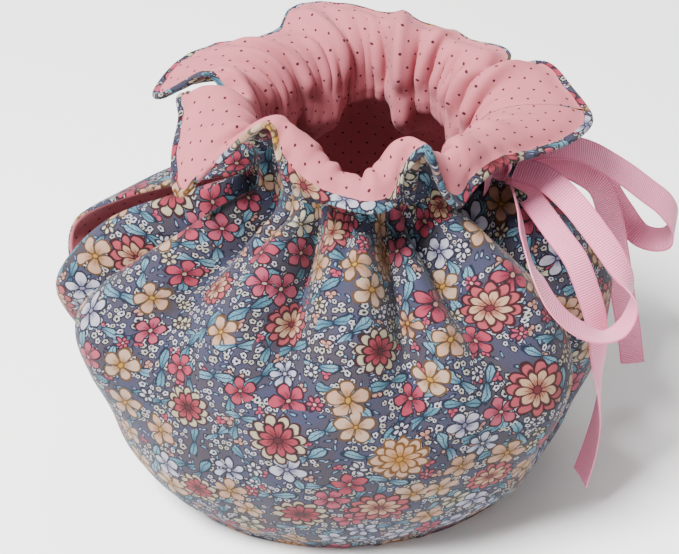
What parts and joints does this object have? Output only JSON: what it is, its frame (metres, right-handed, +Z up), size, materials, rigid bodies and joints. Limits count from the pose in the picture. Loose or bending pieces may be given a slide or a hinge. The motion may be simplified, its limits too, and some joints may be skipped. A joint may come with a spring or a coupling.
{
  "type": "drawstring tea cosy",
  "caption": "Padded cloth tea cosy, gathered at the neck by a ribbon tied in a bow, with a turned-out frill and open slits for a spout and a handle.",
  "frame": {"origin": "centre of the object's box at the level of the hem that it stands on; the neck's axis stands 3.8 mm from it, towards -X", "axes": "+Z up; the handle slit and the bow face +X, the spout slit -X, and the front panel -Y"},
  "size_m": [0.2399, 0.1991, 0.1652],
  "materials": {
    "cotton": "matte printed cotton, lined with dotted cotton",
    "ribbon": "ribbed grosgrain, soft sheen"
  },
  "bodies": {
    "root": {"front_panel": "cotton", "back_panel": "cotton", "ribbon_knot": "ribbon", "ribbon_loop_front": "ribbon", "ribbon_loop_back": "ribbon", "ribbon_tail_front": "ribbon", "ribbon_tail_back": "ribbon", "ribbon_lead_front": "ribbon", "ribbon_lead_back": "ribbon"}
  },
  "joints": []
}
